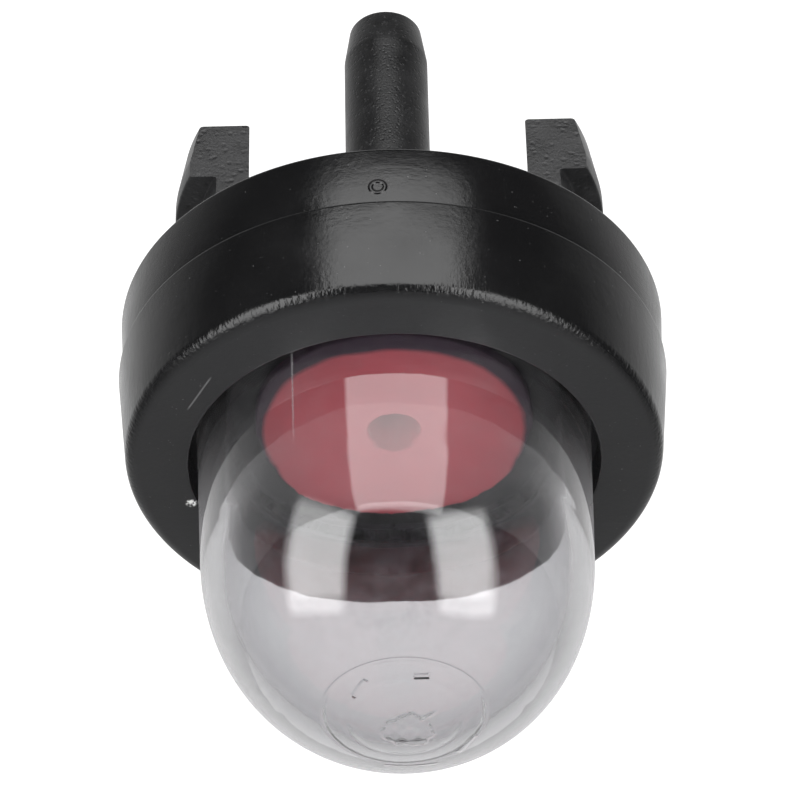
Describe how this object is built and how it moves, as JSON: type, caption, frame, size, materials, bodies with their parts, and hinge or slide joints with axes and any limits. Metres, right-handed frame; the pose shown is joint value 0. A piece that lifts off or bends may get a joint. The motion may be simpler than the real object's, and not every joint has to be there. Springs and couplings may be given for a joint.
{
  "type": "primer bulb",
  "caption": "Snap-in fuel primer: clear squeeze dome in a black ring and base, with a red one-way valve, two snap hooks and two hose nipples.",
  "frame": {"origin": "on the dome's axis, in the plane of the base rim's back face, which seats on the panel", "axes": "+Z along the dome's axis, out of the panel towards the dome's tip; the hooks are on +X and -X, the long return nipple on -Y"},
  "size_m": [0.022, 0.022, 0.0328],
  "materials": {
    "black_body": "semi-gloss moulded black nylon",
    "black_plate": "semi-gloss moulded black nylon, wetted with fuel",
    "red_silicone": "satin moulded red silicone",
    "clear_bulb": "clear glossy soft polyurethane with light haze",
    "black_ring": "glossy moulded black nylon, matter on its front face"
  },
  "bodies": {
    "root": {"base": "black_body", "valve_plate": "black_plate", "valve": "red_silicone", "bulb": "clear_bulb", "retaining_ring": "black_ring"}
  },
  "joints": []
}
